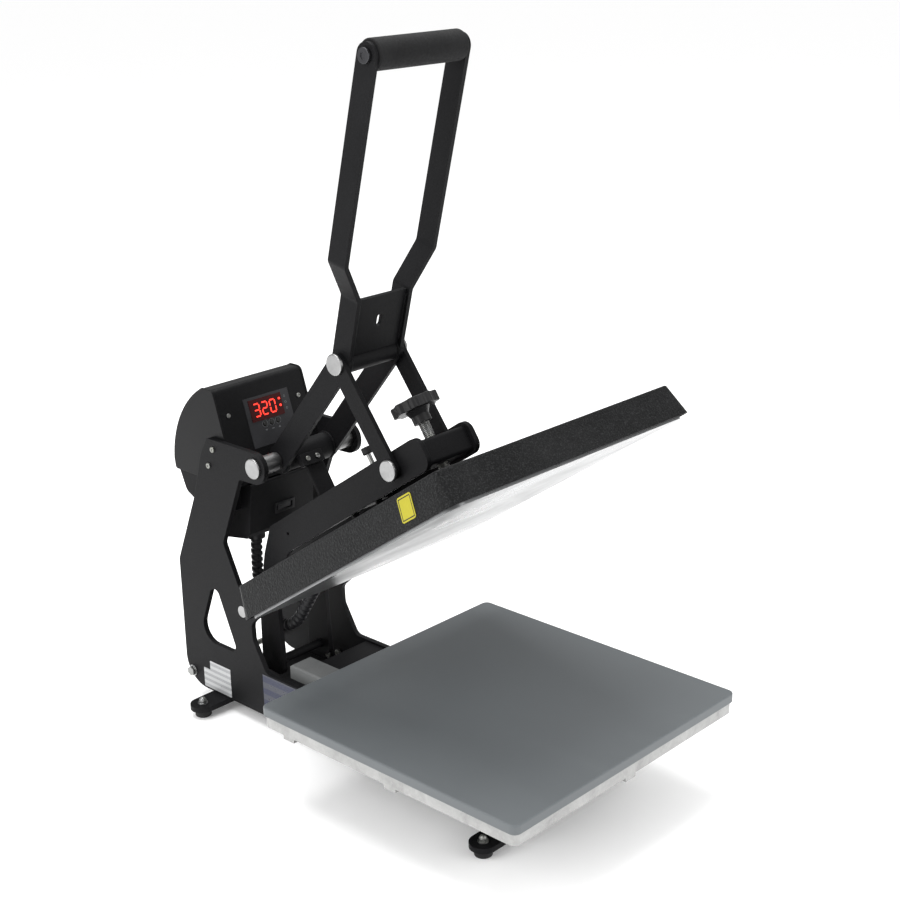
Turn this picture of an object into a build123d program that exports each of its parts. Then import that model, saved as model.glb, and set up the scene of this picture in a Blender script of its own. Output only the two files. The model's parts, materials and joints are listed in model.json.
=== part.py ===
from build123d import *
import os
from math import atan2, cos, degrees, pi, radians, sin, sqrt, tan

# Tabletop clamshell heat press, standing open.
# Working frame while modelling: X to the operator's right, Y to the rear, Z up,
# origin at the centre of the lower pad's top face. Every piece is shifted at
# the end to the part frame: origin on the bench, under the middle of the box.

# ---- driving dimensions (mm) ----
PAD = 406.4                    # square silicone pad, 16 in
PAD_T = 11.5
SHIFT_Y = -152.4               # working frame to part frame
SHIFT_Z = 127.5                # bench to pad top

PIVOT = (376.1, 30.2)          # rear pivot of the upper arm (y, z)
TOP_PIN = (334.5, 239.7)       # frame pivot of the lever
KNEE = (209.0, 391.8)          # knee pin, press open
CLEVIS = (123.3, 277.6)        # arm end of the front links, press open
OPEN_ANGLE = 34.1              # upper platen tilt, degrees
HANDLE_LEAN = 14.2             # handle leans forward, degrees

PLATE_IN = 77.0                # side plates, inner and outer face
PLATE_OUT = 84.0
ARM_IN, ARM_OUT = 38.0, 45.0
LEVER_IN, LEVER_OUT = 40.0, 46.0
LINK_IN, LINK_OUT = 46.4, 52.6
HEAD_R = 13.5                  # domed pin heads
HEAD_T = 3.6

FLOOR = -SHIFT_Z
BAR_TOP = -110.0               # underside of the side plates
BAR_T = 7.0
BAR_HALF = 17.0
FOOT_X = 116.0
FRONT_BAR_Y, REAR_BAR_Y = -78.0, 432.0
TOE_TOP = -47.0

COVER_BOTTOM = 6.5             # upper cover's lower edge, arm frame (closed)
COVER_H = 40.5
COVER_W, COVER_D = 415.0, 420.0
PLATEN_Y = -2.0                # centre of the upper platen, arm frame
HEAT_BOTTOM = 3.5
STEM_Y = -4.5

BOX_HALF = 76.6                # control box between the side plates
FACE_TOP = (418.0, 317.0)      # display face, top and bottom edge (y, z)
FACE_BOTTOM = (381.0, 200.0)

os.makedirs("parts", exist_ok=True)


# ---- helpers ----
def outline(points):
    """Closed wire through (y, z, fillet radius) corners, as a YZ face at x = 0."""
    corners = []
    radii = []
    for y, z, r in points:
        corners.append((y, z))
        radii.append(r)
    face = make_face(Plane.YZ * Polyline(*corners, close=True))
    for (y, z), r in zip(corners, radii):
        if r > 0:
            near = face.vertices().sort_by_distance((0, y, z))[0]
            face = fillet(near, radius=r)
    return face


def slab(face, x0, x1):
    """Extrudes a YZ face from x0 to x1."""
    return Pos(x0, 0, 0) * extrude(face, amount=x1 - x0, dir=(1, 0, 0))


def rod(y, z, r, x0, x1):
    """Round bar along X."""
    return Pos((x0 + x1) / 2, y, z) * Rot(0, 90, 0) * Cylinder(r, x1 - x0)


def post(x, y, r, z0, z1):
    """Round bar along Z."""
    return Pos(x, y, (z0 + z1) / 2) * Cylinder(r, z1 - z0)


def block(x0, x1, y0, y1, z0, z1):
    size = Box(x1 - x0, y1 - y0, z1 - z0)
    return Pos((x0 + x1) / 2, (y0 + y1) / 2, (z0 + z1) / 2) * size


def soften(shape, radius, axis):
    """Fillets the edges parallel to one axis."""
    return fillet(shape.edges().filter_by(axis), radius)


def bar_between(a, b, width, x0, x1):
    """Flat link with round ends between two (y, z) points."""
    length = sqrt((b[0] - a[0]) ** 2 + (b[1] - a[1]) ** 2)
    angle = degrees(atan2(b[1] - a[1], b[0] - a[0]))
    end = Rot(0, 90, 0) * Cylinder(width / 2, x1 - x0)
    shape = Box(x1 - x0, length, width) + Pos(0, length / 2, 0) * end + Pos(0, -length / 2, 0) * end
    middle = Pos((x0 + x1) / 2, (a[0] + b[0]) / 2, (a[1] + b[1]) / 2)
    return middle * Rot(angle, 0, 0) * shape


def domed_head(y, z, x_face, side, r=HEAD_R, t=HEAD_T):
    """Low round pin head standing on a face at x_face, side -1 or +1."""
    head = Cylinder(r, t)
    head = fillet(head.faces().sort_by(Axis.Z)[-1].edges(), 1.6)
    tilt = Rot(0, 90 * side, 0)
    return Pos(x_face + side * t / 2, y, z) * tilt * head


def hex_head(r, t):
    return extrude(RegularPolygon(r, 6), amount=t)


def screw_head(r=3.2, t=1.8):
    """Pan head with a straight hex recess, standing on z = 0."""
    head = Pos(0, 0, t / 2) * Cylinder(r, t)
    head = fillet(head.faces().sort_by(Axis.Z)[-1].edges(), min(0.8, t * 0.4))
    return head - Pos(0, 0, t - 0.9) * hex_head(r * 0.5, 1.0)


def to_open(shape):
    """Turns a piece built in the closed arm frame to the open pose."""
    y, z = PIVOT
    return Pos(0, y, z) * Rot(-OPEN_ANGLE, 0, 0) * Pos(0, -y, -z) * shape


def on_lever(shape):
    """Places a piece built upright on the knee pin at the handle's lean."""
    y, z = KNEE
    return Pos(0, y, z) * Rot(HANDLE_LEAN, 0, 0) * shape


def mirror_x(shape):
    return mirror(shape, about=Plane.YZ)


def save(name, shape):
    """Writes one node in the part frame."""
    solids = shape.solids() if not isinstance(shape, list) else [s for p in shape for s in p.solids()]
    moved = [Pos(0, SHIFT_Y, SHIFT_Z) * s for s in solids]
    out = moved[0] if len(moved) == 1 else Compound(children=moved)
    export_step(out, f"parts/{name}.step")


# ---- base and side plates ----
plate_face = outline([
    (314.0, 260.2, 20.4),
    (314.0, 219.2, 20.4),
    (365.0, 217.6, 4.0),
    (406.5, 119.6, 8.0),
    (380.0, 64.0, 12.0),
    (337.0, 52.0, 12.0),
    (337.0, 37.0, 5.0),
    (358.0, 18.0, 12.0),
    (357.0, -6.0, 14.0),
    (333.0, TOE_TOP, 12.0),
    (-100.0, TOE_TOP, 4.0),
    (-100.0, BAR_TOP, 2.0),
    (503.5, BAR_TOP, 40.0),
    (503.5, 72.0, 10.0),
    (462.0, 169.0, 8.0),
    (441.0, 236.0, 8.0),
    (427.0, 260.2, 6.0),
])
window_face = outline([
    (432.0, 62.7, 10.0),
    (389.6, -35.5, 9.0),
    (471.5, -35.5, 24.0),
])
side_plate = slab(plate_face, -PLATE_OUT, -PLATE_IN)
side_plate -= slab(window_face, -PLATE_OUT - 1, -PLATE_IN + 1)
side_plate -= rod(*TOP_PIN, 9.0, -PLATE_OUT - 1, -PLATE_IN + 1)
side_plate -= rod(*PIVOT, 8.0, -PLATE_OUT - 1, -PLATE_IN + 1)

channel = block(-PLATE_IN, PLATE_IN, -96.0, 312.0, BAR_TOP, TOE_TOP - 3.0)
channel -= block(-72.0, 72.0, -97.0, 313.0, BAR_TOP - 1, TOE_TOP - 8.0)
channel += block(-PLATE_IN, PLATE_IN, 300.0, REAR_BAR_Y + 19.0, BAR_TOP, BAR_TOP + 5.0)
save("base_channel", channel)

bars = []
for y in (FRONT_BAR_Y, REAR_BAR_Y):
    bar = block(-FOOT_X, FOOT_X, y - BAR_HALF, y + BAR_HALF, BAR_TOP - BAR_T, BAR_TOP)
    for side in (-1, 1):
        bar += post(side * FOOT_X, y, BAR_HALF, BAR_TOP - BAR_T, BAR_TOP)
    bars.append(bar)
save("cross_bars", bars)

feet = []
nuts = []
for sx, y in ((-1, FRONT_BAR_Y), (1, FRONT_BAR_Y), (-1, REAR_BAR_Y), (1, REAR_BAR_Y)):
    foot = Cone(11.2, 10.2, BAR_TOP - BAR_T - FLOOR)
    foot = fillet(foot.faces().sort_by(Axis.Z)[0].edges(), 1.6)
    feet.append(Pos(sx * FOOT_X, y, (BAR_TOP - BAR_T + FLOOR) / 2) * foot)
    nut = Pos(0, 0, 0.6) * Cylinder(6.8, 1.2) + Pos(0, 0, 1.2) * hex_head(5.6, 3.4)
    nut += Pos(0, 0, 4.6) * (Sphere(4.3) & Pos(0, 0, 5) * Cylinder(9, 10))
    nuts.append(Pos(sx * FOOT_X, y, BAR_TOP) * nut)
save("rubber_feet", feet)
save("foot_nuts", nuts)

pivot_shaft = rod(*PIVOT, 8.0, -PLATE_OUT, PLATE_OUT)
save("pivot_shaft", pivot_shaft)
spacers = []
for (y, z), bore, inner_x in ((PIVOT, 8.0, ARM_OUT + 0.4), (TOP_PIN, 9.0, LEVER_OUT + 0.5)):
    tube = rod(y, z, 12.0, inner_x, PLATE_IN) - rod(y, z, bore, inner_x - 1, PLATE_IN + 1)
    spacers += [tube, mirror_x(tube)]
save("spacer_sleeves", spacers)

top_shaft = rod(*TOP_PIN, 9.0, -PLATE_OUT, PLATE_OUT)
for side in (-1, 1):
    top_shaft += domed_head(*TOP_PIN, side * PLATE_OUT, side)
save("top_shaft", top_shaft)

TIE = (490.0, -92.0)
tie_rod = rod(*TIE, 4.0, -PLATE_OUT, PLATE_OUT)
for side in (-1, 1):
    tie_rod += Pos(side * PLATE_OUT, *TIE) * Rot(0, 90 * side, 0) * (Pos(0, 0, 0.6) * Cylinder(8.0, 1.2) + hex_head(6.8, 5.6))
save("rear_tie_rod", tie_rod)
side_plate -= rod(*TIE, 4.0, -PLATE_OUT - 1, -PLATE_IN + 1)
save("side_plate_left", side_plate)
save("side_plate_right", mirror_x(side_plate))

frame_screws = []
for side in (-1, 1):
    for y, z in ((388.0, -94.0), (368.0, -85.0)):
        frame_screws.append(Pos(side * PLATE_IN, y, z) * Rot(0, -90 * side, 0) * screw_head(5.0, 4.0))
    for y, z in ((415.0, 247.0), (425.3, 223.0)):
        frame_screws.append(Pos(side * PLATE_OUT, y, z) * Rot(0, 90 * side, 0) * screw_head(3.8, 2.2))

# ---- lower platen ----
casting = block(-201.0, 201.0, -201.0, 201.0, -26.5, -PAD_T)
casting = soften(casting, 9.0, Axis.Z)
casting -= block(-186.0, 186.0, -186.0, 186.0, -29.0, -19.5)
for x in (-60.0, 60.0):
    casting += block(x - 5.0, x + 5.0, -186.0, 186.0, -26.5, -19.5)
for y in (-90.0, 0.0, 90.0):
    casting += block(-186.0, 186.0, y - 5.0, y + 5.0, -26.5, -19.5)
lug_places = [(-197.0, 156.0), (-197.0, -14.0), (197.0, 156.0), (197.0, -14.0), (-2.0, -197.0), (-2.0, 197.0)]
for x, y in lug_places:
    wide_x = abs(x) < 100
    dx, dy = (9.0, 4.0) if wide_x else (4.0, 9.0)
    casting += block(x - dx, x + dx, y - dy, y + dy, -31.5, -26.0)
casting += block(-70.0, 70.0, -150.0, 186.0, TOE_TOP - 3.0, -20.0)
save("lower_platen", casting)

pad = block(-PAD / 2, PAD / 2, -PAD / 2, PAD / 2, -PAD_T, 0.0)
pad = soften(pad, 9.0, Axis.Z)
pad = fillet(pad.faces().sort_by(Axis.Z)[-1].edges(), 2.0)
save("silicone_pad", pad)

lock_block = block(-66.0, -30.0, 240.0, 306.0, TOE_TOP - 3.0, -31.0)
lock_block = chamfer(lock_block.faces().sort_by(Axis.Z)[-1].edges(), 2.0)
lock_block += block(-30.0, -22.0, 240.0, 292.0, TOE_TOP - 3.0, -39.0)
save("platen_lock_block", lock_block)

# ---- labels: plain plates, no lettering ----
save("rating_label", slab(outline([
    (466.0, -79.0, 1.0), (452.0, -79.0, 0), (452.0, -65.5, 1.0),
    (409.0, -65.5, 1.0), (409.0, -107.0, 1.0), (466.0, -107.0, 1.0),
]), -PLATE_OUT - 0.4, -PLATE_OUT))
save("rail_decal", block(-PLATE_OUT - 0.3, -PLATE_OUT, 236.0, 341.0, -108.5, TOE_TOP - 2.0))

# ---- control box ----
FACE_LEN = sqrt((FACE_TOP[0] - FACE_BOTTOM[0]) ** 2 + (FACE_TOP[1] - FACE_BOTTOM[1]) ** 2)
FACE_TILT = 90.0 - degrees(atan2(FACE_TOP[0] - FACE_BOTTOM[0], FACE_TOP[1] - FACE_BOTTOM[1]))


def on_face(x, down, shape):
    """Places a piece drawn on XY, +Z outwards, on the display face."""
    f = down / FACE_LEN
    y = FACE_TOP[0] + f * (FACE_BOTTOM[0] - FACE_TOP[0])
    z = FACE_TOP[1] + f * (FACE_BOTTOM[1] - FACE_TOP[1])
    return Pos(x, y, z) * Rot(FACE_TILT, 0, 0) * shape


def box_profile(grow):
    """D-shaped section of the control box, grown outwards by a margin."""
    g = grow
    front = Line((FACE_BOTTOM[0] - g, FACE_BOTTOM[1] - g), (FACE_TOP[0] + 1.8 - g, FACE_TOP[1] + 5.5 + g))
    top = Line(front @ 1, (440.0, 322.5 + g))
    back = ThreePointArc(top @ 1, (486.5 + g * 0.8, 278.0 + g * 0.6), (507.0 + g, 214.0))
    heel = Line(back @ 1, (505.0 + g, 200.0 - g))
    sole = Line(heel @ 1, front @ 0)
    face = make_face(Plane.YZ * (front + top + back + heel + sole))
    corner = face.vertices().sort_by_distance((0, *(front @ 1)))[0]
    face = fillet(corner, radius=9.0 + g)
    corner = face.vertices().sort_by_distance((0, *(heel @ 1)))[0]
    return fillet(corner, radius=4.0)


CAP_T = 2.4
shell = slab(box_profile(0.0), -BOX_HALF + CAP_T, BOX_HALF - CAP_T)
shell -= slab(box_profile(-1.8), -BOX_HALF, BOX_HALF)
BUTTONS = ((-5.7, 54.0), (5.4, 54.0), (16.6, 54.0))
for x, down in BUTTONS:
    shell -= on_face(x, down, Cylinder(3.6, 12.0))
save("box_shell", shell)
cap = slab(box_profile(0.8), -BOX_HALF, -BOX_HALF + CAP_T)
save("box_caps", [cap, mirror_x(cap)])

belly = slab(outline([
    (400.5, 199.9, 0), (400.5, 160.0, 2.0), (461.0, 160.0, 6.0),
    (486.0, 172.0, 14.0), (498.0, 199.9, 0),
]), -BOX_HALF + 0.4, BOX_HALF - 0.4)
inner = slab(outline([
    (402.5, 201.0, 0), (402.5, 162.0, 2.0), (460.0, 162.0, 5.0),
    (484.5, 173.5, 12.0), (495.5, 201.0, 0),
]), -BOX_HALF + 2.0, BOX_HALF - 2.0)
belly -= inner
for side in (-1, 1):
    belly -= slab(box_profile(0.85), side * (BOX_HALF - CAP_T / 2) - 1.3, side * (BOX_HALF - CAP_T / 2) + 1.3)

LOWER_HALF = 55.0
lower_outer = [(377.5, 198.0, 2.0), (386.0, 128.0, 4.0), (391.0, 120.5, 3.0),
               (455.0, 109.0, 5.0), (459.0, 161.0, 0), (401.5, 161.0, 0), (401.5, 198.0, 0)]
lower = slab(outline(lower_outer), -LOWER_HALF, LOWER_HALF)
hollow = slab(outline([
    (398.0, 158.0, 0), (383.5, 158.0, 2.0), (388.5, 128.5, 2.0), (392.5, 122.5, 0),
    (452.5, 111.8, 3.0), (456.0, 158.0, 0),
]), -LOWER_HALF + 2.0, LOWER_HALF - 2.0)
lower -= hollow
CABLE_X, CABLE_Y = -22.0, 413.0
lower -= post(CABLE_X, CABLE_Y, 8.4, 100.0, 130.0)

# power rocker in the lower box's front panel
PANEL_TOP, PANEL_BOTTOM = (377.5, 198.0), (386.0, 128.0)
PANEL_TILT = 90.0 + degrees(atan2(PANEL_BOTTOM[0] - PANEL_TOP[0], PANEL_TOP[1] - PANEL_BOTTOM[1]))


def on_panel(x, down, shape):
    """Places a piece drawn on XY, +Z outwards, on the lower front panel."""
    f = down / (PANEL_TOP[1] - PANEL_BOTTOM[1])
    y = PANEL_TOP[0] + f * (PANEL_BOTTOM[0] - PANEL_TOP[0])
    return Pos(x, y, PANEL_TOP[1] - down) * Rot(PANEL_TILT, 0, 0) * shape


SWITCH = (4.0, 45.0)
lower -= on_panel(*SWITCH, Box(31.0, 12.0, 14.0))
lower -= on_panel(*SWITCH, Box(34.0, 15.0, 2.4))
save("lower_box", lower + belly)
bezel = Box(34.0, 15.0, 2.4) - Box(27.0, 8.4, 20.0)
bezel += Pos(0, 0, -4.0) * (Box(30.4, 11.4, 6.0) - Box(27.0, 8.4, 20.0))
save("switch_bezel", on_panel(*SWITCH, bezel))
rocker = Pos(0, 0, -1.6) * Rot(0, 5.0, 0) * Box(25.6, 7.4, 4.4)
save("power_rocker", on_panel(*SWITCH, rocker))

overlay = Pos(6.0, 0, 0.3) * Box(76.0, 66.0, 0.6)
overlay = on_face(0.0, 49.0, overlay)
for x, down in BUTTONS:
    overlay -= on_face(x, down, Cylinder(3.6, 12.0))
save("panel_overlay", overlay)
save("display_window", on_face(2.5, 34.0, Pos(0, 0, 1.1) * Box(55.0, 29.0, 1.0)))


def digit(segments):
    """Seven-segment digit 10 wide and 18 high, from segment letters."""
    bars = {
        "a": (0, 8.2, 7.0, 1.8), "g": (0, 0, 7.0, 1.8), "d": (0, -8.2, 7.0, 1.8),
        "f": (-4.4, 4.1, 1.8, 6.2), "b": (4.4, 4.1, 1.8, 6.2),
        "e": (-4.4, -4.1, 1.8, 6.2), "c": (4.4, -4.1, 1.8, 6.2),
    }
    return [Pos(bars[s][0], bars[s][1], 0) * Box(bars[s][2], bars[s][3], 0.3) for s in segments]


digits = []
for x, segments in ((-14.0, "abgcd"), (-0.5, "abged"), (13.0, "abcdef")):
    for bar in digit(segments):
        digits.append(on_face(x, 34.0, Pos(0, 0, 1.75) * bar))
for down in (27.0, 36.0):
    digits.append(on_face(25.6, down, Pos(0, 0, 1.9) * Cylinder(1.6, 0.6)))
save("display_digits", digits)
for index, (x, down) in enumerate(BUTTONS):
    button = Cylinder(3.1, 3.6)
    button = fillet(button.faces().sort_by(Axis.Z)[-1].edges(), 0.8)
    save(f"panel_button_{index + 1}", on_face(x, down, Pos(0, 0, 0.4) * button))

for x in (-60.0, 60.0):
    frame_screws.append(on_face(x, 30.4, screw_head(3.0, 1.6)))
save("frame_screws", frame_screws)
inlet = block(-14.0, 14.0, 448.0, 466.0, 128.0, 150.0)
inlet -= block(-11.5, 11.5, 456.0, 467.0, 131.0, 147.0)
inlet += block(-17.0, 17.0, 460.0, 463.0, 125.0, 153.0) - block(-11.5, 11.5, 456.0, 467.0, 131.0, 147.0)
save("mains_inlet", inlet - slab(outline(lower_outer), -LOWER_HALF, LOWER_HALF))

# ---- heater cable, one run from the lower box to the upper platen ----
CABLE_R = 8.0
GLAND_LOCAL = (209.0, 27.0)


def arm_to_open(y, z):
    """Arm-frame point (closed) to its place with the press open."""
    a = radians(OPEN_ANGLE)
    dy, dz = y - PIVOT[0], z - PIVOT[1]
    return PIVOT[0] + dy * cos(a) + dz * sin(a), PIVOT[1] - dy * sin(a) + dz * cos(a)


CABLE_ROUTE = [
    (CABLE_X, CABLE_Y, 112.0),
    (CABLE_X, CABLE_Y + 2.0, 74.0),
    (CABLE_X, CABLE_Y + 1.0, 34.0),
    (CABLE_X, 400.0, 3.0),
    (CABLE_X, 370.0, -9.0),
    (CABLE_X, 341.0, 3.0),
    (CABLE_X, 322.0, 30.0),
    (CABLE_X, 302.0, 62.0),
    (CABLE_X, *arm_to_open(GLAND_LOCAL[0] + 45.0, GLAND_LOCAL[1])),
    (CABLE_X, *arm_to_open(GLAND_LOCAL[0] + 9.0, GLAND_LOCAL[1])),
]
radii = []
for before, corner, after in zip(CABLE_ROUTE, CABLE_ROUTE[1:], CABLE_ROUTE[2:]):
    run_a = Vector(*corner) - Vector(*before)
    run_b = Vector(*after) - Vector(*corner)
    half_turn = radians(run_a.get_angle(run_b)) / 2
    radii.append(0.45 * min(run_a.length, run_b.length) / tan(half_turn))
print("cable radii", [round(r, 1) for r in radii])
cable_path = FilletPolyline(*CABLE_ROUTE, radius=radii)
print("cable length", round(cable_path.length, 1))
cable = sweep(Plane(cable_path @ 0, z_dir=cable_path % 0) * Circle(CABLE_R), path=cable_path)
print("cable volume over section x length", round(cable.volume / (pi * CABLE_R ** 2 * cable_path.length), 4))
save("heater_cable", cable)
gland = post(CABLE_X, CABLE_Y, 12.0, 108.0, 122.0) - post(CABLE_X, CABLE_Y, 8.3, 100.0, 130.0)
gland -= slab(outline(lower_outer), -LOWER_HALF, LOWER_HALF)
save("box_cable_gland", gland)

# ---- upper arm, drawn closed and turned to the open pose ----
arm_face = outline([
    (-32.0, 113.0, 14.0), (296.0, 113.5, 6.0), (331.0, 87.0, 20.0), (390.0, 27.0, 16.0),
    (438.5, -44.0, 10.0), (405.0, -70.0, 10.0), (353.0, 17.0, 16.0), (286.0, 72.0, 24.0),
    (-32.0, 72.0, 14.0),
])
arm_plate = slab(arm_face, -ARM_OUT, -ARM_IN) + rod(*PIVOT, 19.0, -ARM_OUT, -ARM_IN)
arm_plate -= rod(*PIVOT, 8.05, -ARM_OUT - 1, -ARM_IN + 1)
arm_plate -= rod(267.0, 93.0, 2.2, -ARM_OUT - 1, -ARM_IN + 1)
save("arm_plate_left", to_open(arm_plate))
save("arm_plate_right", to_open(mirror_x(arm_plate)))
hub = rod(*PIVOT, 13.0, -ARM_IN, ARM_IN) - rod(*PIVOT, 8.5, -ARM_IN - 1, ARM_IN + 1)
save("arm_cross_tubes", [to_open(hub), to_open(rod(413.0, -47.0, 6.0, -ARM_IN, ARM_IN))])

STEM_R = 7.0
front_block = block(-ARM_IN, ARM_IN, -25.0, 20.0, 76.0, 108.0)
front_block = fillet(front_block.edges().filter_by(Axis.X), 5.0)
front_block -= post(0, STEM_Y, STEM_R + 0.4, 70.0, 112.0)
save("arm_front_block", to_open(front_block))
top_web = block(-ARM_IN, ARM_IN, 34.0, 232.0, 104.0, 108.0)
save("arm_top_web", to_open(top_web))
guide_block = block(-ARM_IN, ARM_IN, 140.0, 170.0, 78.0, 103.9)
GUIDES = ((-22.0, 155.0), (22.0, 155.0))
for x, y in GUIDES:
    guide_block -= post(x, y, 5.4, 70.0, 98.0)
save("arm_guide_block", to_open(guide_block))

stop_bolt = post(0, 110.0, 3.0, 108.0, 133.0) + Pos(0, 110.0, 108.0) * hex_head(6.0, 5.0)
save("stop_bolt", to_open(stop_bolt))
bumper = post(0, 110.0, 6.5, 133.0, 142.0)
save("stop_bumper", to_open(fillet(bumper.edges().filter_by(GeomType.CIRCLE), 1.0)))
arm_screws = []
for x in (-25.0, 25.0):
    tall_screw = post(0, 0, 2.5, 0.0, 10.0) + Pos(0, 0, 10.0) * screw_head(4.2, 3.0)
    arm_screws.append(to_open(Pos(x, 48.0, 108.0) * tall_screw))

bracket = block(-20.0, 8.0, 205.0, 209.0, 108.0, 172.0) + block(-20.0, 8.0, 190.0, 209.0, 108.0, 112.0)
save("stop_bracket", to_open(bracket))
head_block = block(-30.0, 6.0, 197.0, 204.9, 158.0, 174.0)
head_block = fillet(head_block.edges().filter_by(Axis.Y), 2.0)
save("bracket_block", to_open(head_block))
for x in (-20.0, -4.0):
    arm_screws.append(to_open(Pos(x, 197.0, 166.0) * Rot(90, 0, 0) * screw_head(3.4, 2.0)))
for x in (-14.0, 2.0):
    arm_screws.append(to_open(Pos(x, 197.0, 112.0) * screw_head(3.2, 2.0)))
save("arm_screws", arm_screws)

# ---- upper platen, slides on the stem's screw ----
def rounded_plate(w, d, z0, z1, r, y=PLATEN_Y):
    plate = block(-w / 2, w / 2, y - d / 2, y + d / 2, z0, z1)
    return soften(plate, r, Axis.Z)


def cover_body(inset, z0, height):
    """Frustum with rounded corners, wide at the bottom."""
    base = RectangleRounded(COVER_W - 2 * inset, COVER_D - 2 * inset, 16.0 - inset)
    body = extrude(base, amount=height, taper=13.0)
    return Pos(0, PLATEN_Y, z0) * body


cover = cover_body(0.0, COVER_BOTTOM, COVER_H)
cover = fillet(cover.faces().sort_by(Axis.Z)[-1].edges(), 3.0)
cover -= cover_body(2.5, COVER_BOTTOM - 0.01, COVER_H - 3.0)
cover -= Pos(CABLE_X, 205.0, GLAND_LOCAL[1]) * Rot(90, 0, 0) * Cylinder(8.6, 30.0)
save("platen_cover", to_open(cover))
save("heat_plate", to_open(rounded_plate(COVER_W - 14.0, COVER_D - 14.0, HEAT_BOTTOM, 16.0, 18.0)))
save("heating_elements", [to_open(Pos(0, PLATEN_Y, 20.0) * Torus(r, 3.9)) for r in (70.0, 130.0)])
save("insulation_board", to_open(rounded_plate(COVER_W - 60.0, COVER_D - 60.0, 24.0, 38.0, 20.0)))
mount = block(-34.0, 34.0, -60.0, 190.0, COVER_BOTTOM + COVER_H, 54.0)
mount += post(0, STEM_Y, 15.0, 54.0, 66.0) - post(0, STEM_Y, STEM_R + 0.6, 54.0, 67.0)
for x, y in GUIDES:
    mount += post(x, y, 5.0, 54.0, 95.0)
save("platen_mount", to_open(mount))
platen_gland = Pos(CABLE_X, 214.0, GLAND_LOCAL[1]) * Rot(90, 0, 0) * (Cylinder(12.0, 16.0) - Cylinder(8.3, 20.0))
save("platen_cable_gland", to_open(platen_gland))
sticker = Pos(0, 0, 0.2) * extrude(RectangleRounded(24.0, 28.0, 3.0), amount=0.4)
lean = 13.0
sticker_z = 28.0
sticker_x = -COVER_W / 2 + (sticker_z - COVER_BOTTOM) * sin(radians(lean)) / cos(radians(lean))
sticker = Pos(sticker_x, -143.0, sticker_z) * Rot(0, -90 + lean, 0) * Rot(0, 0, 90) * sticker
save("hot_surface_label", to_open(sticker))

# ---- pressure knob and its screw ----
KNOB_Z = (146.5, 159.5)
rim = Circle(26.0)
for step in range(8):
    a = radians(45.0 * step)
    rim += Pos(23.8 * cos(a), 23.8 * sin(a)) * Circle(6.2)
rim = fillet(rim.vertices(), 3.0)
wheel = Pos(0, 0, KNOB_Z[0]) * extrude(rim, amount=KNOB_Z[1] - KNOB_Z[0])
wheel = chamfer(wheel.faces().sort_by(Axis.Z)[-1].edges(), 1.0)
wheel += post(0, 0, 11.5, 129.5, 140.0) + Pos(0, 0, 143.0) * Cone(11.5, 16.0, 8.0)
wheel = Pos(0, STEM_Y, 0) * (wheel - post(0, 0, STEM_R, 120.0, 150.0))
save("pressure_knob", to_open(wheel))
save("pressure_screw", to_open(post(0, STEM_Y, STEM_R, 58.0, 150.0)))

# ---- lever: handle, rear links, knee ----
BAR_W = 29.0
GRIP_S = 378.0
JOG_LOW, JOG_HIGH = 86.0, 134.0
UP_IN, UP_OUT = 69.6, 75.6
MITRE = 0.85
strip = Plane.XZ * make_face(Polyline(
    (LEVER_IN, 0), (LEVER_OUT, 0), (LEVER_OUT, JOG_LOW - MITRE), (UP_OUT, JOG_HIGH - MITRE),
    (UP_OUT, GRIP_S + 20.0), (UP_IN, GRIP_S + 20.0), (UP_IN, JOG_HIGH + MITRE), (LEVER_IN, JOG_LOW + MITRE),
    close=True,
))
handle = extrude(strip, amount=BAR_W / 2, both=True)
handle = fillet(handle.edges().filter_by(Axis.Y).filter_by(lambda e: 60 < e.center().Z < 160), 9.0)
envelope = block(0, 90.0, -BAR_W / 2, BAR_W / 2, -5.0, GRIP_S) + rod(0, GRIP_S, BAR_W / 2, 0, 90.0)
handle = handle & envelope
handle -= rod(0, 0, 16.1, 0, 90.0)
handle -= rod(0, GRIP_S, 5.0, 0, 90.0)
save("handle_bar_right", on_lever(handle))
save("handle_bar_left", on_lever(mirror_x(handle)))
grip = rod(0, GRIP_S, 18.0, -UP_IN, UP_IN) - rod(0, GRIP_S, 8.0, -UP_IN - 1, UP_IN + 1)
grip = fillet(grip.edges().filter_by(GeomType.CIRCLE).sort_by(SortBy.RADIUS)[-2:], 2.0)
save("grip_sleeve", on_lever(grip))
grip_rod = rod(0, GRIP_S, 7.9, -UP_IN, UP_IN) + rod(0, GRIP_S, 5.0, -UP_OUT, UP_OUT)
for side in (-1, 1):
    grip_rod += Pos(side * UP_OUT, 0, GRIP_S) * Rot(0, 90 * side, 0) * screw_head(9.0, 4.5)
save("grip_rod", on_lever(grip_rod))
web = block(-LEVER_IN, LEVER_IN, -10.0, -5.0, 12.0, 85.0)
slot = Pos(0, 0, 52.0) * (Box(8.0, 30.0, 8.0) + Pos(0, 0, 4.0) * Rot(90, 0, 0) * Cylinder(4.0, 30.0)
                          + Pos(0, 0, -4.0) * Rot(90, 0, 0) * Cylinder(4.0, 30.0))
web -= slot
web -= rod(0, 0, 14.0, -50.0, 50.0)
save("handle_web", on_lever(web))
knee_tube = rod(*KNEE, 14.0, -LEVER_IN, LEVER_IN) - rod(*KNEE, 7.0, -LEVER_IN - 1, LEVER_IN + 1)
knee_shaft = rod(*KNEE, 7.0, -LINK_OUT - 0.3, LINK_OUT + 0.3)
for side in (-1, 1):
    knee_shaft += domed_head(*KNEE, side * (LINK_OUT + 0.3), side)
save("knee_shaft", knee_shaft)
rear_link = bar_between(TOP_PIN, KNEE, 32.0, LEVER_IN, LEVER_OUT)
rear_link -= rod(*TOP_PIN, 9.05, 0, 90.0)
rear_link -= rod(*KNEE, 7.0, 0, 90.0)
save("rear_links", [rear_link, mirror_x(rear_link)])
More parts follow.
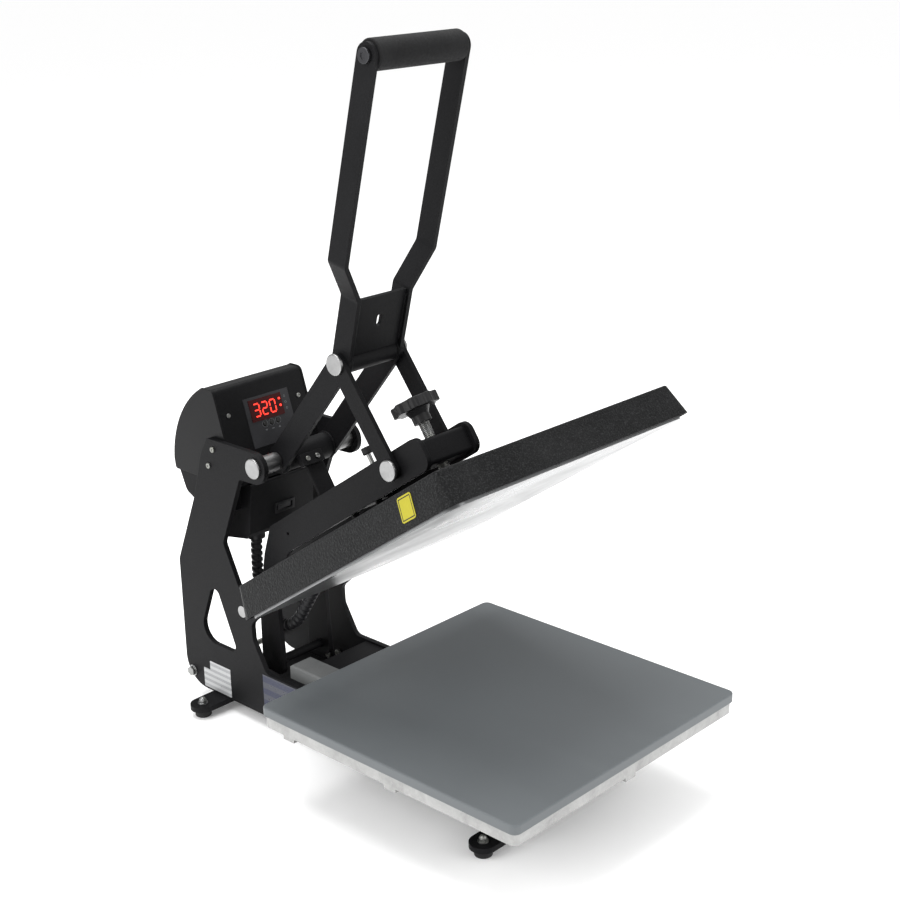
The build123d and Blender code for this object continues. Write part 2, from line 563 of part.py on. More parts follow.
lever_hub = rod(*TOP_PIN, 17.0, -LEVER_IN, LEVER_IN) - rod(*TOP_PIN, 9.5, -LEVER_IN - 1, LEVER_IN + 1)
save("lever_cross_tubes", [knee_tube, lever_hub])

# ---- front links, open at the arm end ----
front_link = bar_between(KNEE, CLEVIS, 24.0, LINK_IN, LINK_OUT)
front_link -= rod(*KNEE, 7.05, 0, 90.0)
save("front_links", [front_link, mirror_x(front_link)])
clevis_pin = domed_head(*CLEVIS, LINK_OUT, 1)
save("clevis_pins", [clevis_pin, mirror_x(clevis_pin)])
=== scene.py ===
import json
import math
import bpy
import bmesh
from mathutils import Matrix, Vector


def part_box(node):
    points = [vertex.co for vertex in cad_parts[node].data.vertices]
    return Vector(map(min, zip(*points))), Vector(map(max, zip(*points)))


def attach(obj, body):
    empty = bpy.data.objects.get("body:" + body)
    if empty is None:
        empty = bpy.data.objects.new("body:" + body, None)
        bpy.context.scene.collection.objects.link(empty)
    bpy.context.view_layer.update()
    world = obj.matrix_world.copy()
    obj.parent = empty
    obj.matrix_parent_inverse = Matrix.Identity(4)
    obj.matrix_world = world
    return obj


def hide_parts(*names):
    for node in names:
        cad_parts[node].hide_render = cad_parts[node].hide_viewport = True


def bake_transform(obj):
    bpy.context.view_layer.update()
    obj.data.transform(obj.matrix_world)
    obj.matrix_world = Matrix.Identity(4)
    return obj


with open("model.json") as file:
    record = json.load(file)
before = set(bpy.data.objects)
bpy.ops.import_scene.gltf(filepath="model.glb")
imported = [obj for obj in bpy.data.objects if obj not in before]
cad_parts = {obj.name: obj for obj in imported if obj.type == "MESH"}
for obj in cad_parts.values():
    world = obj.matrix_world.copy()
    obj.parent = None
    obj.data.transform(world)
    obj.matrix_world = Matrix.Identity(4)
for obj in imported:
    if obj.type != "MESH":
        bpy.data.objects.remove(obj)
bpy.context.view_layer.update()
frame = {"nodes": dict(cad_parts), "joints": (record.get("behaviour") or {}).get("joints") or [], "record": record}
NODES = frame["nodes"]
RECORD = frame["record"]
SCENE = bpy.context.scene
JOINT = {j["name"]: j for j in frame["joints"]}

ARM_TILT = math.radians(34.1)      # upper platen, press open
LEVER_LEAN = math.radians(14.2)    # handle back from upright, press open
PLATE_FACE_X = 0.0392              # where the lever's welds lie, from the middle
PRINT = 0.00012                    # thickness of a printed mark

# ---------------------------------------------------------------- camera
AZIMUTH = math.radians(-46.50)
ELEVATION = math.radians(19.02)
ROLL = math.radians(-1.01)
EYE = Vector((-1.32634, -1.33724, 1.05865))

back = Vector((
    math.sin(AZIMUTH) * math.cos(ELEVATION),
    -math.cos(AZIMUTH) * math.cos(ELEVATION),
    math.sin(ELEVATION),
))
level = Vector((math.cos(AZIMUTH), math.sin(AZIMUTH), 0.0))
upright = back.cross(level)
cam_x = level * math.cos(ROLL) + upright * math.sin(ROLL)
cam_y = upright * math.cos(ROLL) - level * math.sin(ROLL)
cam_data = bpy.data.cameras.new("camera")
cam_data.sensor_width = 36.0
cam_data.lens = 65.78
cam_data.clip_end = 120.0
camera = bpy.data.objects.new("camera", cam_data)
SCENE.collection.objects.link(camera)
turn = Matrix((cam_x, cam_y, back)).transposed().to_4x4()
camera.matrix_world = Matrix.Translation(EYE) @ turn
SCENE.camera = camera


# ---------------------------------------------------------------- materials
class Nodes:
    """Short-hand for building one node material."""

    def __init__(self, name):
        self.material = bpy.data.materials.new(name)
        self.material.use_nodes = True
        self.tree = self.material.node_tree
        self.tree.nodes.clear()
        self.out = self.tree.nodes.new("ShaderNodeOutputMaterial")
        self.shader = self.tree.nodes.new("ShaderNodeBsdfPrincipled")
        self.join(self.shader.outputs[0], self.out.inputs[0])
        self.coords = self.tree.nodes.new("ShaderNodeTexCoord").outputs["Object"]

    def join(self, a, b):
        self.tree.links.new(a, b)

    def set(self, **values):
        for key, value in values.items():
            name = key.replace("_", " ").title().replace("Ior", "IOR")
            self.shader.inputs[name].default_value = value

    def node(self, kind, **props):
        made = self.tree.nodes.new(kind)
        for key, value in props.items():
            setattr(made, key, value)
        return made

    def stretched(self, scale):
        made = self.node("ShaderNodeMapping")
        made.inputs["Scale"].default_value = scale
        self.join(self.coords, made.inputs["Vector"])
        return made.outputs[0]

    def noise(self, scale, detail=3.0, rough=0.55, coords=None, distortion=0.0):
        made = self.node("ShaderNodeTexNoise")
        made.inputs["Scale"].default_value = scale
        made.inputs["Detail"].default_value = detail
        made.inputs["Roughness"].default_value = rough
        made.inputs["Distortion"].default_value = distortion
        self.join(coords or self.coords, made.inputs["Vector"])
        return made.outputs["Fac"]

    def voronoi(self, scale, feature="SMOOTH_F1", coords=None):
        made = self.node("ShaderNodeTexVoronoi", feature=feature)
        made.inputs["Scale"].default_value = scale
        self.join(coords or self.coords, made.inputs["Vector"])
        return made.outputs["Distance"]

    def grey(self, value, low, high, a=0.3, b=0.7):
        """Remaps a 0..1 pattern to low..high."""
        made = self.node("ShaderNodeMapRange")
        for name, number in (("From Min", a), ("From Max", b), ("To Min", low), ("To Max", high)):
            made.inputs[name].default_value = number
        self.join(value, made.inputs["Value"])
        return made.outputs[0]

    def mix(self, factor, a, b):
        made = self.node("ShaderNodeMix", data_type="RGBA")
        for socket, value in ((made.inputs[0], factor), (made.inputs[6], a), (made.inputs[7], b)):
            if isinstance(value, (tuple, float, int)):
                socket.default_value = value if not isinstance(value, tuple) else (*value, 1.0)
            else:
                self.join(value, socket)
        return made.outputs[2]

    def math(self, operation, a, b=0.0):
        made = self.node("ShaderNodeMath", operation=operation)
        for socket, value in ((made.inputs[0], a), (made.inputs[1], b)):
            if isinstance(value, (float, int)):
                socket.default_value = value
            else:
                self.join(value, socket)
        return made.outputs[0]

    def weighted(self, a, b, share):
        """Weighted sum of two patterns; share is the first one's weight."""
        return self.math("ADD", self.math("MULTIPLY", a, share), self.math("MULTIPLY", b, 1.0 - share))

    def edge(self, radius, samples=4):
        """Rounded normal, and 0..1 where the surface is near an edge."""
        bevel = self.node("ShaderNodeBevel", samples=samples)
        bevel.inputs["Radius"].default_value = radius
        flat = self.node("ShaderNodeNewGeometry").outputs["Normal"]
        dot = self.node("ShaderNodeVectorMath", operation="DOT_PRODUCT")
        self.join(bevel.outputs[0], dot.inputs[0])
        self.join(flat, dot.inputs[1])
        near = self.grey(dot.outputs["Value"], 1.0, 0.0, 0.86, 0.995)
        return bevel.outputs[0], near

    def bump(self, *layers, normal=None):
        """layers are (height, strength, distance), the first underneath."""
        last = normal
        for height, strength, distance in layers:
            made = self.node("ShaderNodeBump")
            made.inputs["Strength"].default_value = strength
            made.inputs["Distance"].default_value = distance
            self.join(height, made.inputs["Height"])
            if last is not None:
                self.join(last, made.inputs["Normal"])
            last = made.outputs[0]
        self.join(last, self.shader.inputs["Normal"])

    def colour(self, socket):
        self.join(socket, self.shader.inputs["Base Color"])

    def rough(self, socket):
        self.join(socket, self.shader.inputs["Roughness"])


def coat(name, dark, light, grain, depth, rough, highlight_amount=0.0, bevel=0.0009, fine=2.4, gloss=0.09, glint_amount=0.4):
    """Textured enamel or powder coat: grain bumps, uneven sheen, light specks painted in as glints, and a patchy
    painted highlight along the edges.
    """
    m = Nodes(name)
    normal, near = m.edge(bevel)
    cells = m.noise(grain, 2.0, 0.5)
    speck = m.noise(grain * fine, 2.0, 0.6)
    cloud = m.noise(9.0, 4.0, 0.6)
    base = m.mix(m.grey(cloud, 0.0, 1.0), dark, light)
    # Painted glints: light specks in the grain, up to 3.2 times the light tone.
    painted_glints = m.mix(m.grey(speck, 0.0, glint_amount, 0.48, 0.76), base, tuple(min(1.0, c * 3.2) for c in light))
    # Painted highlight: near edges the colour is lifted, in noisy patches, towards grey 0.16.
    painted_edge_highlight = m.math("MULTIPLY", near, m.grey(m.noise(55.0, 5.0, 0.7), 0.0, highlight_amount, 0.45, 0.75))
    m.colour(m.mix(painted_edge_highlight, painted_glints, (0.16, 0.16, 0.165)))
    m.rough(m.grey(m.weighted(cloud, speck, 0.6), *rough))
    m.set(specular_ior_level=gloss)
    m.bump((cells, 0.75, depth), (speck, 0.45, depth * 0.45), normal=normal)
    return m.material


def metal(name, colour, rough, streak=None, depth=0.00012, tint=None, bevel=0.0006):
    """Bare or plated metal: streaks, handling marks, softened edges."""
    m = Nodes(name)
    normal, near = m.edge(bevel)
    cloud = m.noise(38.0, 5.0, 0.65)
    lines = m.noise(420.0, 3.0, 0.6, m.stretched(streak or (1.0, 1.0, 1.0)))
    spots = m.noise(170.0, 4.0, 0.7)
    dull = tint or tuple(c * 0.72 for c in colour)
    body = m.mix(m.grey(cloud, 0.0, 1.0, 0.35, 0.75), colour, dull)
    body = m.mix(m.grey(spots, 0.0, 0.35, 0.55, 0.8), body, tuple(c * 0.5 for c in colour))
    # Painted highlight: edges lightened to 1.25 times the metal's colour.
    m.colour(m.mix(m.math("MULTIPLY", near, 0.4), body, tuple(min(1.0, c * 1.25) for c in colour)))
    m.rough(m.grey(m.weighted(lines, cloud, 0.5), *rough))
    m.set(metallic=1.0)
    m.bump((lines, 0.35, depth), (spots, 0.25, depth), normal=normal)
    return m.material


def moulded(name, colour, rough, grain=900.0, depth=0.00008, variation=1.5, bevel=0.0005, **extra):
    """Moulded plastic or rubber: fine grain, soft cloudy sheen."""
    m = Nodes(name)
    normal, near = m.edge(bevel)
    cloud = m.noise(22.0, 4.0, 0.6)
    fine = m.noise(grain, 3.0, 0.6)
    lighter = tuple(min(1.0, c * variation) for c in colour)
    body = m.mix(m.grey(cloud, 0.0, 1.0), colour, lighter)
    # Painted highlight: edges lightened towards twice the plastic's colour.
    m.colour(m.mix(m.math("MULTIPLY", near, 0.25), body, tuple(min(1.0, c * 2.0 + 0.01) for c in colour)))
    m.rough(m.grey(m.weighted(fine, cloud, 0.5), *rough))
    m.set(**{"specular_ior_level": 0.26, **extra})
    m.bump((fine, 0.5, depth), normal=normal)
    return m.material


def silicone_sheet():
    """Smooth grey rubber sheet with faint calender streaks, dust and press marks."""
    m = Nodes("silicone_pad")
    normal, near = m.edge(0.0012)
    streak = m.noise(30.0, 4.0, 0.6, m.stretched((1.0, 0.12, 1.0)))
    cloud = m.noise(5.0, 3.0, 0.55)
    dust = m.noise(900.0, 2.0, 0.7)
    tone = m.mix(m.grey(streak, 0.0, 1.0, 0.25, 0.8), (0.103, 0.113, 0.119), (0.115, 0.126, 0.132))
    tone = m.mix(m.grey(cloud, 0.0, 0.5), tone, (0.126, 0.137, 0.143))
    tone = m.mix(m.grey(dust, 0.0, 0.35, 0.72, 0.9), tone, (0.3, 0.31, 0.31))
    # Painted highlight: edges lightened towards light grey.
    m.colour(m.mix(m.math("MULTIPLY", near, 0.35), tone, (0.24, 0.255, 0.26)))
    m.rough(m.grey(m.weighted(streak, cloud, 0.6), 0.36, 0.47))
    m.set(specular_ior_level=0.34)
    fine = m.noise(1500.0, 2.0, 0.6)
    m.bump((cloud, 0.12, 0.0006), (fine, 0.22, 0.00006), normal=normal)
    return m.material


def rough_casting():
    """Sand-cast aluminium: pitted skin, oxide clouds, ground high spots, and a painted highlight along the edges.
    """
    m = Nodes("cast_aluminium")
    normal, near = m.edge(0.0014)
    pits = m.voronoi(420.0)
    skin = m.noise(180.0, 6.0, 0.72)
    oxide = m.noise(26.0, 6.0, 0.7, distortion=0.6)
    tone = m.mix(m.grey(oxide, 0.0, 1.0, 0.3, 0.72), (0.44, 0.44, 0.435), (0.27, 0.27, 0.265))
    tone = m.mix(m.grey(skin, 0.0, 0.6, 0.5, 0.78), tone, (0.56, 0.56, 0.55))
    # Painted highlight: edges lightened towards pale grey 0.66.
    m.colour(m.mix(m.math("MULTIPLY", near, 0.5), tone, (0.66, 0.66, 0.65)))
    m.rough(m.grey(skin, 0.42, 0.68))
    m.set(metallic=0.55)
    m.bump((oxide, 0.3, 0.0012), (skin, 0.55, 0.0006), (pits, 0.35, 0.0003), normal=normal)
    return m.material


def ground_plate():
    """Ground, coated heating face: long grinding lines and soft smears."""
    m = Nodes("heat_plate")
    normal, near = m.edge(0.001)
    lines = m.noise(900.0, 3.0, 0.7, m.stretched((1.0, 0.02, 0.02)))
    smear = m.noise(7.0, 4.0, 0.6, distortion=0.8)
    tone = m.mix(m.grey(smear, 0.0, 1.0), (0.235, 0.238, 0.242), (0.175, 0.178, 0.181))
    m.colour(m.mix(m.grey(lines, 0.0, 0.18), tone, (0.15, 0.15, 0.15)))
    m.rough(m.grey(smear, 0.24, 0.36))
    m.set(metallic=0.85)
    m.bump((lines, 0.12, 0.00004), normal=normal)
    return m.material


def foam_grip():
    """Closed-cell foam sleeve: open pores and a dusty, matte surface."""
    m = Nodes("foam_grip")
    pores = m.voronoi(1500.0, "F1")
    lumps = m.noise(320.0, 4.0, 0.6)
    cloud = m.noise(24.0, 3.0, 0.5)
    tone = m.mix(m.grey(cloud, 0.0, 1.0), (0.006, 0.006, 0.0065), (0.011, 0.011, 0.0115))
    # Painted shade: the pores are darkened towards near black.
    m.colour(m.mix(m.grey(pores, 0.6, 0.0, 0.0, 0.35), tone, (0.006, 0.006, 0.006)))
    m.rough(m.grey(lumps, 0.62, 0.86))
    m.set(sheen_weight=0.03, sheen_roughness=0.6, specular_ior_level=0.12)
    m.bump((lumps, 0.5, 0.0004), (pores, 0.6, 0.0003))
    return m.material


def striped(name, first, second, step, axis, rough=(0.25, 0.4)):
    """Printed film with plain stripes and a slightly uneven ink."""
    m = Nodes(name)
    split = m.node("ShaderNodeSeparateXYZ")
    m.join(m.coords, split.inputs[0])
    along = m.math("MULTIPLY", split.outputs[axis], 1.0 / step)
    bar = m.math("GREATER_THAN", m.math("FRACT", along), 0.5)
    ink = m.noise(300.0, 4.0, 0.6)
    base = m.mix(bar, first, second)
    m.colour(m.mix(m.grey(ink, 0.0, 0.25), base, tuple(c * 0.7 for c in first)))
    m.rough(m.grey(ink, *rough))
    m.bump((ink, 0.15, 0.00005))
    return m.material


def glowing(name, colour, strength):
    """Lit segment behind a tinted window, with a faint grain."""
    m = Nodes(name)
    grain = m.noise(900.0, 3.0, 0.6)
    m.colour(m.mix(m.grey(grain, 0.0, 0.5), colour, tuple(c * 0.6 for c in colour)))
    m.rough(m.grey(grain, 0.3, 0.5))
    m.set(emission_color=(*colour, 1.0), emission_strength=strength)
    m.bump((grain, 0.2, 0.00003))
    return m.material


def warning_sticker(node):
    """Yellow film with a plain dark border, drawn about the sticker's own centre."""
    m = Nodes("label_yellow")
    a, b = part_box(node)
    along = (0.0, math.cos(ARM_TILT), -math.sin(ARM_TILT))
    across = (0.0, math.sin(ARM_TILT), math.cos(ARM_TILT))
    shift = m.node("ShaderNodeVectorMath", operation="SUBTRACT")
    shift.inputs[1].default_value = (Vector(a) + Vector(b)) / 2
    m.join(m.coords, shift.inputs[0])
    sides = []
    for direction, half in ((along, 0.012), (across, 0.0136)):
        dot = m.node("ShaderNodeVectorMath", operation="DOT_PRODUCT")
        dot.inputs[1].default_value = direction
        m.join(shift.outputs[0], dot.inputs[0])
        sides.append(m.math("MULTIPLY", m.math("ABSOLUTE", dot.outputs["Value"]), 1.0 / half))
    reach = m.math("MAXIMUM", *sides)
    band = m.math("MULTIPLY", m.math("GREATER_THAN", reach, 0.78), m.math("LESS_THAN", reach, 0.87))
    ink = m.noise(500.0, 3.0, 0.6)
    film = m.mix(m.grey(ink, 0.0, 0.4), (0.37, 0.33, 0.018), (0.31, 0.28, 0.015))
    m.colour(m.mix(band, film, (0.012, 0.012, 0.012)))
    m.rough(m.grey(ink, 0.3, 0.42))
    m.set(specular_ior_level=0.26)
    m.bump((ink, 0.15, 0.00003))
    return m.material


MATERIALS = {
    "powder_coat": coat("powder_coat", (0.0045, 0.0045, 0.0050), (0.0078, 0.0078, 0.0085), 520.0, 0.00026,
                        (0.40, 0.58), highlight_amount=0.22),
    "box_coat": coat("box_coat", (0.0042, 0.0042, 0.0046), (0.0065, 0.0065, 0.0070), 560.0, 0.00012,
                     (0.27, 0.40), highlight_amount=0.2, gloss=0.12),
    "hammered_coat": coat("hammered_coat", (0.0038, 0.0040, 0.0042), (0.0095, 0.0097, 0.0100), 330.0,
                          0.0010, (0.34, 0.56), highlight_amount=0.2, bevel=0.0015, fine=1.8, gloss=0.10, glint_amount=1.0),
    "bright_steel": metal("bright_steel", (0.36, 0.36, 0.36), (0.24, 0.42), (0.05, 1.0, 1.0)),
    "satin_steel": metal("satin_steel", (0.23, 0.23, 0.23), (0.34, 0.52), (0.05, 1.0, 1.0)),
    "zinc": metal("zinc", (0.30, 0.305, 0.31), (0.28, 0.5), tint=(0.26, 0.26, 0.22)),
    "dark_steel": metal("dark_steel", (0.07, 0.07, 0.075), (0.3, 0.5)),
    "cast_aluminium": rough_casting(),
    "heat_plate": ground_plate(),
    "element": metal("element", (0.34, 0.31, 0.28), (0.4, 0.65), tint=(0.25, 0.2, 0.2)),
    "silicone": silicone_sheet(),
    "board": moulded("board", (0.62, 0.58, 0.5), (0.7, 0.9), 260.0, 0.0006, 1.2),
    "rubber": moulded("rubber", (0.012, 0.012, 0.012), (0.5, 0.7), 700.0, 0.0002),
    "foam": foam_grip(),
    "knob_plastic": moulded("knob_plastic", (0.011, 0.011, 0.0115), (0.28, 0.46), 1100.0, 0.00006),
    "cable_wrap": moulded("cable_wrap", (0.010, 0.010, 0.011), (0.3, 0.5), 1300.0, 0.00004),
    "black_plastic": moulded("black_plastic", (0.010, 0.010, 0.011), (0.26, 0.42), 1500.0, 0.00003),
    "panel_film": moulded("panel_film", (0.017, 0.017, 0.019), (0.34, 0.5), 1800.0, 0.00003),
    "display": moulded("display", (0.028, 0.002, 0.002), (0.14, 0.24), 300.0, 0.00001),
    "led_red": glowing("led_red", (0.95, 0.03, 0.015), 1.8),
    "button_black": moulded("button_black", (0.014, 0.014, 0.014), (0.3, 0.45), 1200.0, 0.00003),
    "label_white": striped("label_white", (0.40, 0.405, 0.41), (0.25, 0.255, 0.26), 0.0085, 2),
    "label_yellow": warning_sticker("hot_surface_label"),
    "decal": striped("decal", (0.008, 0.012, 0.040), (0.035, 0.038, 0.052), 0.017, 2),
    "lock_grey": moulded("lock_grey", (0.095, 0.098, 0.098), (0.4, 0.6), 240.0, 0.0003, 1.25),
    "mark_grey": moulded("mark_grey", (0.12, 0.125, 0.13), (0.35, 0.5), 600.0, 0.00003, 1.15),
}
SLOT = {part["node"]: part["material_slot"] for part in RECORD["subparts"]}
FINISH = {**SLOT, "box_shell": "box_coat", "box_caps": "box_coat"}
for node, obj in NODES.items():
    if not obj.material_slots:
        obj.data.materials.append(MATERIALS[FINISH[node]])
    for holder in obj.material_slots:
        holder.material = MATERIALS[FINISH[node]]


# ---------------------------------------------------------------- mesh helpers
def mesh_piece(name, verts, faces, slot, body, smooth=True):
    data = bpy.data.meshes.new(name)
    data.from_pydata([tuple(v) for v in verts], [], faces)
    data.update()
    fix = bmesh.new()
    fix.from_mesh(data)
    bmesh.ops.recalc_face_normals(fix, faces=fix.faces)
    fix.to_mesh(data)
    fix.free()
    if smooth:
        data.polygons.foreach_set("use_smooth", [True] * len(data.polygons))
    obj = bpy.data.objects.new(name, data)
    SCENE.collection.objects.link(obj)
    data.materials.append(MATERIALS[slot])
    if body:
        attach(obj, body)
    return obj


def sweep_rings(points, radius_at, around):
    """Closed tube through points; radius_at(distance, angle) gives its surface."""
    verts, faces = [], []
    side = Vector((1.0, 0.0, 0.0))
    travelled = 0.0
    count = len(points)
    for i, p in enumerate(points):
        ahead = points[min(i + 1, count - 1)] - points[max(i - 1, 0)]
        ahead.normalize()
        side = (side - ahead * side.dot(ahead)).normalized()
        other = ahead.cross(side)
        if i:
            travelled += (p - points[i - 1]).length
        for k in range(around):
            a = 2.0 * math.pi * k / around
            verts.append(p + (side * math.cos(a) + other * math.sin(a)) * radius_at(travelled, a))
    for i in range(count - 1):
        for k in range(around):
            n = (k + 1) % around
            faces.append((i * around + k, i * around + n, (i + 1) * around + n, (i + 1) * around + k))
    faces.append(tuple(reversed(range(around))))
    faces.append(tuple((count - 1) * around + k for k in range(around)))
    return verts, faces


def resample(points, step):
    """Evenly spaced points along a polyline."""
    total = sum((b - a).length for a, b in zip(points, points[1:]))
    count = max(2, int(round(total / step)))
    made, seg, used = [points[0].copy()], 0, 0.0
    for i in range(1, count):
        want = total * i / count
        while seg < len(points) - 2 and used + (points[seg + 1] - points[seg]).length < want:
            used += (points[seg + 1] - points[seg]).length
            seg += 1
        a, b = points[seg], points[seg + 1]
        made.append(a.lerp(b, (want - used) / max(1e-9, (b - a).length)))
    made.append(points[-1].copy())
    return made, total


def smooth_route(points):
    """Points of the NURBS curve through a route's control points."""
    data = bpy.data.curves.new("route", "CURVE")
    data.dimensions = "3D"
    data.resolution_u = 24
    spline = data.splines.new("NURBS")
    spline.points.add(len(points) - 1)
    for target, p in zip(spline.points, points):
        target.co = (*p, 1.0)
    spline.order_u = 3
    spline.use_endpoint_u = True
    holder = bpy.data.objects.new("route", data)
    SCENE.collection.objects.link(holder)
    bpy.context.view_layer.update()
    line = bpy.data.meshes.new_from_object(holder)
    made = [v.co.copy() for v in line.vertices]
    bpy.data.objects.remove(holder)
    bpy.data.meshes.remove(line)
    return made


# ---------------------------------------------------------------- heater cable
CABLE_ROUTE = [
    (-0.022, 0.2606, 0.2395), (-0.022, 0.2626, 0.2015), (-0.022, 0.2616, 0.1615), (-0.022, 0.2476, 0.1305),
    (-0.022, 0.2176, 0.1185), (-0.022, 0.1886, 0.1305), (-0.022, 0.1696, 0.1575), (-0.022, 0.1496, 0.1895),
    (-0.022, 0.1208, 0.223504), (-0.022, 0.09099, 0.243687),
]
CABLE_R = 0.008
line, cable_length = resample(smooth_route(CABLE_ROUTE), 0.0011)
WRAP = 0.0088


def wrapped(distance, angle):
    """Flat plastic band wound in a spiral, with a gap between turns."""
    turn_at = (distance / WRAP + angle / (2.0 * math.pi)) % 1.0
    rise = min(turn_at, 0.66 - turn_at) / 0.09 if turn_at < 0.66 else 0.0
    lift = max(0.0, min(1.0, rise))
    return CABLE_R * (0.80 + 0.2 * lift * lift * (3 - 2 * lift))


verts, faces = sweep_rings(line, wrapped, 28)
cable = mesh_piece("wrapped_heater_cable", verts, faces, "cable_wrap", None)
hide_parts("heater_cable")
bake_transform(cable)

# ---------------------------------------------------------------- threaded stem
knob_joint = JOINT["knob_spin"]
axis = Vector(knob_joint["axis"]).normalized()
on_axis = Vector(knob_joint["pos_m"])
low, high = (Vector(v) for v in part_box("pressure_screw"))
middle = (low + high) / 2
half = ((high.z - low.z) / 2 - 0.007 * math.sin(math.acos(axis.z))) / axis.z
centre = on_axis + axis * (middle - on_axis).dot(axis)
PITCH = 0.002


def threaded(distance, angle):
    place = (distance / PITCH - angle / (2.0 * math.pi)) % 1.0
    return 0.00615 + 0.00082 * (1.0 - abs(2.0 * place - 1.0))


stem_line, _ = resample([centre - axis * half, centre + axis * half], 0.0003)
verts, faces = sweep_rings(stem_line, threaded, 24)
stem = mesh_piece("threaded_pressure_screw", verts, faces, "zinc", "knob")
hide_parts("pressure_screw")


# ---------------------------------------------------------------- weld beads
def weld(name, start, end, radius, body, slot="powder_coat"):
    """Row of overlapping puddles along a joint."""
    a, b = Vector(start), Vector(end)
    points, length = resample([a, b], radius * 0.22)
    step = radius * 1.1

    def puddle(distance, angle):
        wave = abs(math.sin(math.pi * distance / step))
        fade = min(1.0, distance / radius, (length - distance) / radius)
        drift = 0.08 * math.sin(distance * 900.0 + 2.0 * angle)
        return radius * (0.72 + 0.28 * wave + drift) * (0.35 + 0.65 * max(0.0, fade))

    verts, faces = sweep_rings(points, puddle, 14)
    return mesh_piece(name, verts, faces, slot, body)


lever_axis = Vector((0.0, -math.sin(LEVER_LEAN), math.cos(LEVER_LEAN)))
lever_back = Vector((0.0, math.cos(LEVER_LEAN), math.sin(LEVER_LEAN)))
knee = Vector(JOINT["link_swing"]["pos_m"])
for side, word in ((-1, "left"), (1, "right")):
    for where, depth in (("front", -0.0100), ("back", -0.0050)):
        foot = knee + lever_axis * 0.018 + lever_back * depth + Vector((side * PLATE_FACE_X, 0, 0))
        weld(f"web_weld_{where}_{word}", foot, foot + lever_axis * 0.062, 0.0018, "lever")


def ring_bead(name, place, radius, thick, body, slot="powder_coat"):
    """Weld bead round a tube whose axis is X."""
    verts, faces = [], []
    around, across = 72, 10
    for i in range(around):
        a = 2 * math.pi * i / around
        out = Vector((0.0, math.cos(a), math.sin(a)))
        r = thick * (0.8 + 0.2 * abs(math.sin(a * 9)))
        for k in range(across):
            b = 2 * math.pi * k / across
            verts.append(Vector(place) + out * (radius + r * math.cos(b)) + Vector((r * math.sin(b), 0, 0)))
    for i in range(around):
        for k in range(across):
            j, n = (i + 1) % around, (k + 1) % across
            faces.append((i * across + k, j * across + k, j * across + n, i * across + n))
    return mesh_piece(name, verts, faces, slot, body)


top_pin = Vector(JOINT["lever_swing"]["pos_m"])
for side, word in ((-1, "left"), (1, "right")):
    ring_bead(f"knee_weld_{word}", knee + Vector((side * PLATE_FACE_X, 0, 0)), 0.0142, 0.0016, "lever")
    ring_bead(f"hub_weld_{word}", top_pin + Vector((side * PLATE_FACE_X, 0, 0)), 0.0172, 0.0016, "lever")


# ---------------------------------------------------------------- printed marks on the panel
def panel_frame():
    """Origin, right, up and outward normal of the display face."""
    normal = -Vector(JOINT["button_1_press"]["axis"]).normalized()
    right = Vector((1.0, 0.0, 0.0))
    up = normal.cross(right)
    return right, up, normal


def centre_of(node):
    a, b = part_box(node)
    return (Vector(a) + Vector(b)) / 2


right, up, out = panel_frame()


def flat_mark(name, centre_point, outline_points, thick, slot, hole=None):
    """Thin printed shape lying on the panel; hole cuts an inner outline."""
    rings = [outline_points] + ([hole] if hole else [])
    verts, faces = [], []
    for level_at in (0.0, thick):
        for ring in rings:
            verts += [centre_point + right * x + up * y + out * level_at for x, y in ring]
    n = len(outline_points)
    if hole:
        for k in range(n):
            j = (k + 1) % n
            faces += [(k, j, n + j, n + k), (2 * n + k, 3 * n + k, 3 * n + j, 2 * n + j)]
            faces += [(k, 2 * n + k, 2 * n + j, j), (n + k, n + j, 3 * n + j, 3 * n + k)]
    else:
        faces = [tuple(reversed(range(n))), tuple(range(n, 2 * n))]
        faces += [(k, (k + 1) % n, n + (k + 1) % n, n + k) for k in range(n)]
    return mesh_piece(name, verts, faces, slot, "frame", smooth=False)


def ellipse(w, h, count=20):
    turns = [2 * math.pi * k / count for k in range(count)]
    return [(w * math.cos(a), h * math.sin(a)) for a in turns]


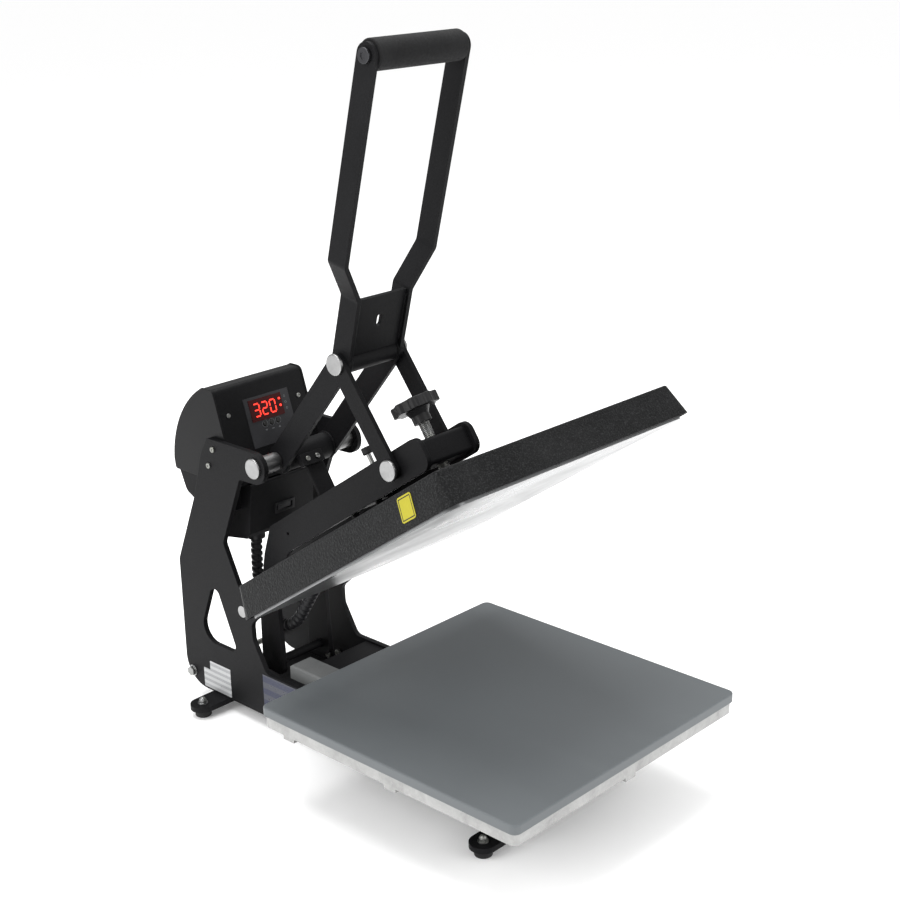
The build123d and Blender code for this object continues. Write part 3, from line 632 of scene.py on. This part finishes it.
panel_mid = centre_of("panel_overlay")
for index in range(3):
    button = centre_of(f"panel_button_{index + 1}")
    spot = button - out * (button - panel_mid).dot(out) + out * 0.00031
    flat_mark(f"button_ring_{index + 1}", spot, ellipse(0.0048, 0.0048), PRINT, "mark_grey",
              ellipse(0.0043, 0.0043))
    tick = spot - up * 0.0085
    if index == 0:
        shape = [(-0.002, 0.0012), (0.002, 0.0012), (0.0, -0.0012)]
    elif index == 1:
        shape = [(-0.002, 0.0005), (-0.002, -0.0005), (0.002, -0.0005), (0.002, 0.0005)]
    else:
        shape = [(-0.002, -0.0012), (0.0, 0.0012), (0.002, -0.0012)]
    flat_mark(f"button_tick_{index + 1}", tick, shape, PRINT, "mark_grey")
window = centre_of("display_window")
for index, lift in enumerate((0.008, 0.0, -0.008)):
    place = window + right * 0.0335 + up * lift
    place -= out * ((place - panel_mid).dot(out) - 0.00031)
    flat_mark(f"scale_mark_{index + 1}", place, ellipse(0.0016, 0.0016, 12), PRINT, "mark_grey",
              ellipse(0.0011, 0.0011, 12))

# ---------------------------------------------------------------- floor and light
bpy.ops.mesh.primitive_plane_add(size=80.0, location=(0.0, 0.0, -0.0004))
floor = bpy.context.object
floor.name = "studio_floor"
paper = Nodes("studio_paper")
fibre = paper.noise(60.0, 5.0, 0.6)
paper.colour(paper.mix(paper.grey(fibre, 0.0, 1.0), (0.955, 0.955, 0.955), (0.975, 0.975, 0.975)))
paper.rough(paper.grey(fibre, 0.75, 0.9))
paper.set(emission_color=(1.0, 1.0, 1.0, 1.0), emission_strength=0.07)
paper.bump((fibre, 0.05, 0.0003))
floor.data.materials.append(paper.material)


def softbox(name, place, aim, size, power):
    data = bpy.data.lights.new(name, "AREA")
    data.shape = "RECTANGLE"
    data.size, data.size_y = size
    data.energy = power
    lamp = bpy.data.objects.new(name, data)
    SCENE.collection.objects.link(lamp)
    direction = Vector(aim) - Vector(place)
    lamp.rotation_euler = direction.to_track_quat("-Z", "Y").to_euler()
    lamp.location = place
    return lamp


softbox("top_light", (0.1, 0.5, 2.6), (0.0, 0.0, 0.3), (2.2, 1.8), 62.0)
softbox("left_light", (-2.4, 0.4, 1.6), (0.0, 0.0, 0.4), (1.4, 1.6), 34.0)
softbox("front_light", (0.6, -2.6, 1.5), (0.0, 0.0, 0.4), (1.8, 1.4), 26.0)
world = bpy.data.worlds.new("studio")
SCENE.world = world
world.use_nodes = True
background = world.node_tree.nodes["Background"]
background.inputs[0].default_value = (1.0, 1.0, 1.0, 1.0)
ray = world.node_tree.nodes.new("ShaderNodeLightPath")
dimmer = world.node_tree.nodes.new("ShaderNodeMapRange")
dimmer.inputs["To Min"].default_value = 1.0
dimmer.inputs["To Max"].default_value = 0.45
world.node_tree.links.new(ray.outputs["Is Glossy Ray"], dimmer.inputs["Value"])
world.node_tree.links.new(dimmer.outputs[0], background.inputs[1])
SCENE.view_settings.view_transform = "Standard"
